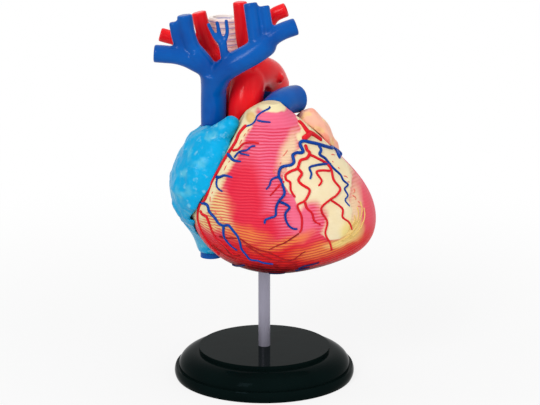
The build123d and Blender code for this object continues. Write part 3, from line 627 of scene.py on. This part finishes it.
def auricle_paint():
    """Peach plastic with orange and yellow shades."""
    material, tree, shader, place = new_paint("peach_plastic", roughness=0.38)
    base = mix(tree, mottle(tree, place, size=10.0), colour("F9BFA6"), colour("F3A98E"))
    warm = map_range(tree, mottle(tree, place, size=7.0), low=0.52, high=0.68)
    base = laid_over(tree, base, warm, "F4C98C")
    red = map_range(tree, mottle(tree, place, size=9.0), low=0.50, high=0.70)
    base = laid_over(tree, base, red, "EC8468", strength=0.7)
    tree.links.new(base, shader.inputs["Base Color"])
    bump(tree, shader, mottle(tree, place, size=2.0), depth=0.08 * mm)
    return material


def windpipe_paint():
    """Off-white gristle with lavender painted shade in lines between the rings."""
    material, tree, shader, place = new_paint("gristle_plastic", roughness=0.5)
    base = mix(tree, mottle(tree, place, size=4.0), colour("FFF7F0"), colour("F8EEEA"))
    lines = stripes(tree, place, ring_spacing, wander=0.4)
    # Painted shade: a lavender tint in lines between the rings.
    base = laid_over(tree, base, map_range(tree, lines, low=0.86, high=0.98), "B2ACDA")
    tree.links.new(base, shader.inputs["Base Color"])
    bump(tree, shader, mottle(tree, place, size=1.5), depth=0.06 * mm)
    return material


def base_paint():
    """Glossy black plastic with a faint haze."""
    material, tree, shader, place = new_paint("black_plastic")
    shader.inputs["Specular IOR Level"].default_value = base_shine
    shader.inputs["Specular Tint"].default_value = colour("8FB4C4")
    base = mix(tree, mottle(tree, place, size=20.0), colour("060D0D"), colour("0A1615"))
    tree.links.new(base, shader.inputs["Base Color"])
    vary_roughness(tree, shader, mottle(tree, place, size=6.0, detail=5.0), least=0.07, most=0.12)
    bump(tree, shader, mottle(tree, place, size=10.0), depth=0.04 * mm)
    return material


def rod_paint():
    """Satin aluminium, brushed along the rod."""
    material, tree, shader, place = new_paint("satin_aluminium", roughness=0.4)
    shader.inputs["Metallic"].default_value = 0.6
    brushed = node(tree, "Mapping", {"Vector": place, "Scale": brush_scale}).outputs[0]
    lines = mottle(tree, brushed, size=1.0, detail=4.0)
    base = mix(tree, lines, colour("A5A2B2"), colour("8F8C9C"))
    tree.links.new(base, shader.inputs["Base Color"])
    bump(tree, shader, lines, depth=0.02 * mm)
    return material


def applied(piece):
    """Gives a piece the mesh that its modifiers make, and takes the modifiers off."""
    depsgraph = bpy.context.evaluated_depsgraph_get()
    made = bpy.data.meshes.new_from_object(piece.evaluated_get(depsgraph))
    piece.modifiers.clear()
    old = piece.data
    piece.data = made
    bpy.data.meshes.remove(old)
    return piece


def add_remesh(piece, grain):
    """Gives a piece one even skin."""
    skin = piece.modifiers.new("skin", "REMESH")
    skin.mode = "VOXEL"
    skin.voxel_size = grain
    skin.use_smooth_shade = True


def add_offset(piece, distance):
    """Moves the skin outwards by a distance, or inwards when it is negative."""
    offset = piece.modifiers.new("offset", "DISPLACE")
    offset.mid_level = 0.0
    offset.strength = distance


def add_smooth(piece, rounds):
    """Evens the skin out."""
    smooth = piece.modifiers.new("smooth", "SMOOTH")
    smooth.factor = smooth_factor
    smooth.iterations = rounds


def surfaces(*cad_nodes):
    """The points and faces of some CAD nodes."""
    points, faces = [], []
    for cad in cad_nodes:
        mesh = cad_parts[cad].data
        start = len(points)
        points += [vertex.co[:] for vertex in mesh.vertices]
        faces += [[start + i for i in polygon.vertices] for polygon in mesh.polygons]
    return points, faces


def new_object(name, data):
    """A new object in the scene, with its mesh, lamp or camera."""
    made = bpy.data.objects.new(name, data)
    bpy.context.scene.collection.objects.link(made)
    return made


def new_piece(name, points, faces):
    """A new piece with the given points and faces."""
    mesh = bpy.data.meshes.new(name)
    mesh.from_pydata(points, [], faces)
    return new_object(name, mesh)


def add_ball(piece, place, radius):
    """Joins a ball to a piece's mesh."""
    shape = bmesh.new()
    shape.from_mesh(piece.data)
    bmesh.ops.create_icosphere(shape, subdivisions=4, radius=radius, matrix=Matrix.Translation(place))
    shape.to_mesh(piece.data)
    shape.free()


def organic(name, cad, grain, rounds, web=0, ball=None):
    """A CAD node's copy with an even skin, smooth webs in its forks and soft edges."""
    piece = new_piece(name, *surfaces(cad))
    if ball:
        add_ball(piece, *ball)
    add_remesh(piece, grain)
    if web:
        add_offset(piece, web)
        add_remesh(piece, grain)
        add_offset(piece, -web)
        add_remesh(piece, grain)
    add_smooth(piece, rounds)
    return applied(piece)


def points_of(piece):
    """A piece's points and their normals as two arrays."""
    count = len(piece.data.vertices)
    points = np.zeros(count * 3)
    normals = np.zeros(count * 3)
    piece.data.vertices.foreach_get("co", points)
    piece.data.vertices.foreach_get("normal", normals)
    return points.reshape(-1, 3), normals.reshape(-1, 3)


def push(piece, heights):
    """Moves each point of a piece along its normal by its own height."""
    points, normals = points_of(piece)
    points = points + normals * heights[:, None]
    piece.data.vertices.foreach_set("co", points.ravel())
    piece.data.update()


def lumps(points, size):
    """Rounded lumps of about the given size, from 0 to 1 at each point."""
    heights = [noise.noise(Vector(p) / size) for p in points]
    return np.clip(0.5 + np.array(heights), 0, 1) ** lump_sharpness


def outside(normals, side):
    """1 on the face of a half shell that looks outwards, 0 on its inside and its seam."""
    facing = normals[:, 1] * side
    return np.clip((facing - outside_start) / outside_span, 0, 1)


def shell_tree(*cad_nodes):
    """The surfaces of some CAD nodes together, to shoot rays at."""
    points, faces = surfaces(*cad_nodes)
    return BVHTree.FromPolygons(points, faces)


def enclosed(tree, spot, normal):
    """True inside a chamber, where nearly every way out of a spot meets its walls."""
    start = spot + normal * clear_of_skin
    if tree.ray_cast(start, normal)[0] is None:
        return False
    met = sum(tree.ray_cast(start, way)[0] is not None for way in ways_out)
    return met > enclosed_share * len(ways_out)


def painted(piece, *materials):
    """Puts materials on a piece."""
    piece.data.materials.clear()
    for material in materials:
        piece.data.materials.append(material)
    return piece


def on_seam(face, seam):
    """True where a half shell meets its other half."""
    return abs(face.center.y - seam) < seam_reach and abs(face.normal.y) > seam_facing


def two_faced(piece, tree, seam, outer, inner):
    """Paints a shell's outside and its seam with one material and its chamber with another."""
    painted(piece, outer, inner)
    for face in piece.data.polygons:
        inside = not on_seam(face, seam) and enclosed(tree, face.center, face.normal)
        face.material_index = int(inside)


def curve_through(places, step):
    """A smooth line through some places, as points about one step apart."""
    places = [Vector(p) for p in places]
    places = [2 * places[0] - places[1]] + places + [2 * places[-1] - places[-2]]
    line = []
    for before, start, end, after in zip(places, places[1:], places[2:], places[3:]):
        count = max(2, round((end - start).length / step))
        for i in range(count):
            t = i / count
            line.append(0.5 * (2 * start + (end - before) * t
                               + (2 * before - 5 * start + 4 * end - after) * t * t
                               + (3 * start - before - 3 * end + after) * t ** 3))
    return line + [places[-2]]


def on_wall(tree, box, share, side):
    """The point of a wall straight in front of a place given as shares, and its normal."""
    low, high = box
    size = high - low
    x = low.x + share[0] * size.x
    z = low.z + share[1] * size.z
    far = low.y - size.y if side < 0 else high.y + size.y
    spot, normal, _, _ = tree.ray_cast(Vector((x, far, z)), Vector((0, -side, 0)))
    if spot is None:
        seam = high.y if side < 0 else low.y
        spot, normal, _, _ = tree.find_nearest(Vector((x, seam, z)))
    return spot, normal


def relief_tube(line, normals, start, end):
    """A tapered tube with round ends along a line of points, as points and faces."""
    points, faces = [], []
    count = len(line)
    for i, (place, normal) in enumerate(zip(line, normals)):
        along = (line[min(i + 1, count - 1)] - line[max(i - 1, 0)]).normalized()
        across = along.cross(normal).normalized()
        out = across.cross(along)
        share = i / (count - 1)
        radius = start + (end - start) * share
        edge = min(i, count - 1 - i) * relief_step / radius
        radius *= max(relief_tip_share, math.sqrt(1 - max(0, 1 - edge) ** 2))
        centre = place + normal * radius * relief_rise_share
        for k in range(relief_sides):
            angle = 2 * math.pi * k / relief_sides
            points.append(centre + (across * math.cos(angle) + out * math.sin(angle)) * radius)
    for i in range(count - 1):
        for k in range(relief_sides):
            right = (k + 1) % relief_sides
            a, b = i * relief_sides, (i + 1) * relief_sides
            faces.append((a + k, a + right, b + right, b + k))
    faces.append(tuple(reversed(range(relief_sides))))
    faces.append(tuple((count - 1) * relief_sides + k for k in range(relief_sides)))
    return points, faces


def relief(name, wall, box, side, routes, material):
    """Vessels that run on a wall, along routes given as shares of its box."""
    depsgraph = bpy.context.evaluated_depsgraph_get()
    tree = BVHTree.FromObject(wall, depsgraph)
    size = box[1] - box[0]
    points, faces = [], []
    for shares, start, end in routes:
        places = [(share[0] * size.x, 0, share[1] * size.z) for share in shares]
        line = curve_through(places, relief_step)
        found = [on_wall(tree, box, (p.x / size.x, p.z / size.z), side) for p in line]
        spots, normals = zip(*found)
        tube_points, tube_faces = relief_tube(spots, normals, start, end)
        first = len(points)
        points += [p[:] for p in tube_points]
        faces += [[first + i for i in face] for face in tube_faces]
    piece = new_piece(name, points, faces)
    piece.data.shade_smooth()
    return painted(piece, material)


def fits(piece, body, slot, *replaced):
    """Puts a piece on a body and hides the CAD nodes that it stands for. The slot is not used."""
    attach(piece, body)
    if replaced:
        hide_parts(*replaced)


def add_reliefs(wall, box, side, body, rows):
    """The vessels and lines that run on one wall: each row has a name, slot, routes and material."""
    for name, slot, routes, material in rows:
        fits(relief(name, wall, box, side, routes, material), body, slot)


def zone_height(points, box, zones, soft):
    """1 inside a group of ellipses and 0 outside, for each of some points."""
    low, high = box
    width = high.x - low.x
    height = high.z - low.z
    nearest = np.full(len(points), np.inf)
    for across, up, half_width, half_height, turn in zones:
        x = points[:, 0] - low.x - across * width
        z = points[:, 2] - low.z - up * height
        angle = math.radians(turn)
        along = (x * math.cos(angle) - z * math.sin(angle)) / (half_width * width)
        upward = (x * math.sin(angle) + z * math.cos(angle)) / (half_height * height)
        nearest = np.minimum(nearest, np.hypot(along, upward))
    share = np.clip((1 + soft - nearest) / (2 * soft), 0, 1)
    return share * share * (3 - 2 * share)


def raise_fat(piece, box):
    """Raises the cream patch, the fat at the top and the small knob on the front wall."""
    points, normals = points_of(piece)
    low, high = box
    size = high - low
    rough = 1 - fat_lump_share + fat_lump_share * lumps(points, fat_lump_size)
    patch = zone_height(points, box, cream_patch_zone, soft=0.07)
    top = zone_height(points, box, cone_fat_zone, soft=0.25)
    fat = np.maximum(patch, top) * rough * fat_height
    x = points[:, 0] - low.x - knob_share[0] * size.x
    z = points[:, 2] - low.z - knob_share[1] * size.z
    knob = np.exp(-(x * x + z * z) / knob_radius ** 2) * knob_height
    push(piece, outside(normals, -1) * (fat + knob))


def make_walls(outer_front, outer_back, inner):
    """The two halves of the ventricles."""
    tree = shell_tree("ventricle_front_wall", "ventricle_back_wall", "valve_plate")
    front = organic("heart_front", "ventricle_front_wall", wall_grain, shell_rounds)
    raise_fat(front, front_box)
    two_faced(front, tree, wall_seam, outer_front, inner)
    fits(front, "front_wall", "heart_muscle", "ventricle_front_wall")
    back = organic("heart_back", "ventricle_back_wall", wall_grain, shell_rounds)
    two_faced(back, tree, wall_seam, outer_back, inner)
    fits(back, "heart", "heart_muscle", "ventricle_back_wall")
    return front, back


def make_atrium(outer, inner):
    """The two halves of the right atrium, with lumps."""
    tree = shell_tree("right_atrium_front", "right_atrium_back")
    for name, cad, body, side in [
        ("atrium_front", "right_atrium_front", "atrium_front", -1),
        ("atrium_back", "right_atrium_back", "heart", 1),
    ]:
        piece = organic(name, cad, atrium_grain, shell_rounds)
        points, normals = points_of(piece)
        large = lumps(points, atrium_lump_size)
        small = lumps(points, small_lump_size)
        height = (1 - small_lump_share) * large + small_lump_share * small - atrium_lump_middle
        push(piece, height * outside(normals, side) * atrium_lump_height)
        two_faced(piece, tree, atrium_seam, outer, inner)
        fits(piece, body, "right_atrium", cad)


def make_auricle(material):
    """The lobe of the left atrium, with lumps."""
    piece = organic("left_lobe", "left_auricle", atrium_grain, lobe_rounds)
    points, _ = points_of(piece)
    push(piece, (lumps(points, auricle_lump_size) - auricle_lump_middle) * auricle_lump_height)
    painted(piece, material)
    fits(piece, "auricle", "left_atrium", "left_auricle")


def swell(piece):
    """Pushes the aorta's side out where the upper vein passes in front of it."""
    points, normals = points_of(piece)
    far = np.linalg.norm(points - np.array(swell_place), axis=1) / swell_radius
    turn = swell_fade_rate * normals[:, 1]
    front_fade, back_fade = swell_fades
    level = np.clip(front_fade + turn, 0, 1) * np.clip(back_fade - turn, 0, 1)
    push(piece, np.exp(-far ** 4) * np.clip(-normals[:, 0], 0, 1) * level * swell_height)


def make_vessels(blue, red):
    """The great vessels with smooth forks."""
    shoulder = (shoulder_place, shoulder_radius)
    for name, cad, body, slot, web, ball, material in [
        ("veins_of_head", "great_veins", "veins", "vein", vein_web, shoulder, blue),
        ("main_artery_tree", "aorta", "main_artery", "artery", artery_web, None, red),
        ("lung_artery_tree", "pulmonary_artery", "lung_artery", "vein", artery_web, None, blue),
    ]:
        piece = organic(name, cad, vessel_grain, vessel_rounds, web, ball)
        if cad == "aorta":
            swell(piece)
        painted(piece, material)
        fits(piece, body, slot, cad)


def background_ray(tree):
    """1 for the rays that see the background: the camera's, mirrored and passing ones."""
    seen = node(tree, "LightPath", {}).outputs
    mirrored = greater(tree, seen["Is Glossy Ray"], seen["Is Transmission Ray"])
    return greater(tree, seen["Is Camera Ray"], mirrored)


def make_floor():
    """A wide pale floor that shows as white but keeps the object's shadow."""
    corner_signs = [(-1, -1), (1, -1), (1, 1), (-1, 1)]
    corners = [(x * floor_reach, y * floor_reach, 0) for x, y in corner_signs]
    floor = new_piece("floor", corners, [(0, 1, 2, 3)])
    material = bpy.data.materials.new("pale_floor")
    material.use_nodes = True
    tree = material.node_tree
    shader = tree.nodes["Principled BSDF"]
    shader.inputs["Base Color"].default_value = colour("D4D4D4")
    shader.inputs["Roughness"].default_value = 0.9
    glow = node(tree, "Emission", {"Color": (1, 1, 1, 1), "Strength": 1.0}).outputs[0]
    place = node(tree, "TexCoord", {}).outputs["Object"]
    far = node(tree, "VectorMath", {0: place}, operation="LENGTH").outputs["Value"]
    glowing = map_range(tree, far, shadow_radius, glow_radius, to_low=shadow_glow)
    share = times(tree, background_ray(tree), glowing)
    mixed = node(tree, "MixShader", {0: share, 1: shader.outputs[0], 2: glow}).outputs[0]
    tree.links.new(mixed, tree.nodes["Material Output"].inputs["Surface"])
    painted(floor, material)


def make_world():
    """An even white sky, and white behind the object."""
    world = bpy.data.worlds.new("studio")
    bpy.context.scene.world = world
    world.use_nodes = True
    tree = world.node_tree
    light = tree.nodes["Background"]
    light.inputs["Color"].default_value = (1, 1, 1, 1)
    light.inputs["Strength"].default_value = sky_strength
    white = node(tree, "Background", {"Color": (1, 1, 1, 1), "Strength": 1.0}).outputs[0]
    shaders = {0: background_ray(tree), 1: light.outputs[0], 2: white}
    mixed = node(tree, "MixShader", shaders).outputs[0]
    tree.links.new(mixed, tree.nodes["World Output"].inputs["Surface"])


def aim(holder, place, target):
    """Puts a lamp or the camera at a place and turns it to a target."""
    holder.location = place
    holder.rotation_euler = (Vector(target) - Vector(place)).to_track_quat("-Z", "Y").to_euler()


def make_lamp(name, place, width, height, power, mirrored):
    """A soft rectangular studio lamp, which glossy surfaces may mirror."""
    lamp = bpy.data.lights.new(name, "AREA")
    lamp.shape = "RECTANGLE"
    lamp.size = width
    lamp.size_y = height
    lamp.energy = power
    holder = new_object(name, lamp)
    holder.visible_glossy = mirrored
    aim(holder, place, lamp_aim)


def make_camera():
    """A long lens that looks a little down on the object."""
    camera = bpy.data.cameras.new("camera")
    camera.sensor_width = camera_sensor
    camera.lens = camera_lens
    camera.clip_start = camera_near
    holder = new_object("camera", camera)
    aim(holder, camera_place, camera_aim)
    bpy.context.scene.camera = holder
    bpy.context.scene.view_settings.view_transform = "Standard"


make_camera()
make_world()
make_floor()
for name, lamp in lamps.items():
    make_lamp(name, *lamp)

muscle_front = muscle_paint("painted_muscle_front", front_box, with_patch=True)
muscle_back = muscle_paint("painted_muscle_back", back_box, with_patch=False)
inner_muscle = plastic_paint("inner_muscle", "E0707A", "C9505E", roughness=0.45, grain=2.0,
                             depth=0.15 * mm)
valve_skin = plastic_paint("valve_skin", "F4E6CE", "EBD3B0", roughness=0.40)
blue = plastic_paint("blue_plastic", "0055A8", "034696", roughness=0.22, depth=0.02 * mm)
red = plastic_paint("red_plastic", "F01820", "DE1420", roughness=0.20, depth=0.02 * mm)
relief_blue = plastic_paint("blue_relief", "00429C", "003284", roughness=0.32)
# Painted shade: the veins low on the front wall get a darker copy of the blue relief.
shaded_relief_blue = plastic_paint("shaded_blue_relief", "0E2258", "08123A", roughness=0.35)
relief_red = plastic_paint("red_relief", "DC1C28", "CA1826", roughness=0.35)
fine_red = plastic_paint("pale_red_relief", "E4806E", "DC5A50", roughness=0.40)
fine_yellow = plastic_paint("pale_yellow_relief", "DDBE70", "CFA65A", roughness=0.40)
dark_red = plastic_paint("dark_red_relief", "A01C20", "7C1418", roughness=0.40)
light_blue = atrium_paint()
peach = auricle_paint()
gristle = windpipe_paint()
black = base_paint()
aluminium = rod_paint()

heart_front, heart_back = make_walls(muscle_front, muscle_back, inner_muscle)
add_reliefs(heart_front, front_box, -1, "front_wall", [
    ("coronary_veins", "vein", vein_routes, relief_blue),
    ("low_coronary_veins", "vein", low_vein_routes, shaded_relief_blue),
    ("coronary_arteries", "artery", artery_routes, relief_red),
    ("fine_red_lines", "artery", fine_red_routes, fine_red),
    ("pale_lines", "heart_muscle", pale_routes, fine_yellow),
    ("dark_lines", "heart_muscle", dark_routes, dark_red),
])
add_reliefs(heart_back, back_box, 1, "heart", [
    ("back_coronary_veins", "vein", back_vein_routes, relief_blue),
    ("back_coronary_arteries", "artery", back_artery_routes, relief_red),
])
make_atrium(light_blue, inner_muscle)
make_auricle(peach)
make_vessels(blue, red)

for cad, material in [
    ("base_dome", black), ("base_plate", black), ("support_rod", aluminium),
    ("valve_plate", inner_muscle), ("septum", inner_muscle),
    ("tricuspid_valve", valve_skin), ("mitral_valve", valve_skin),
    ("aortic_valve", valve_skin), ("pulmonary_valve", valve_skin),
    ("right_papillary_muscle", inner_muscle), ("left_papillary_muscle", inner_muscle),
    ("inferior_vena_cava", blue), ("left_atrium", peach),
    ("left_lung_veins", red), ("right_lung_veins", red), ("windpipe", gristle),
]:
    painted(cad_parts[cad], material)
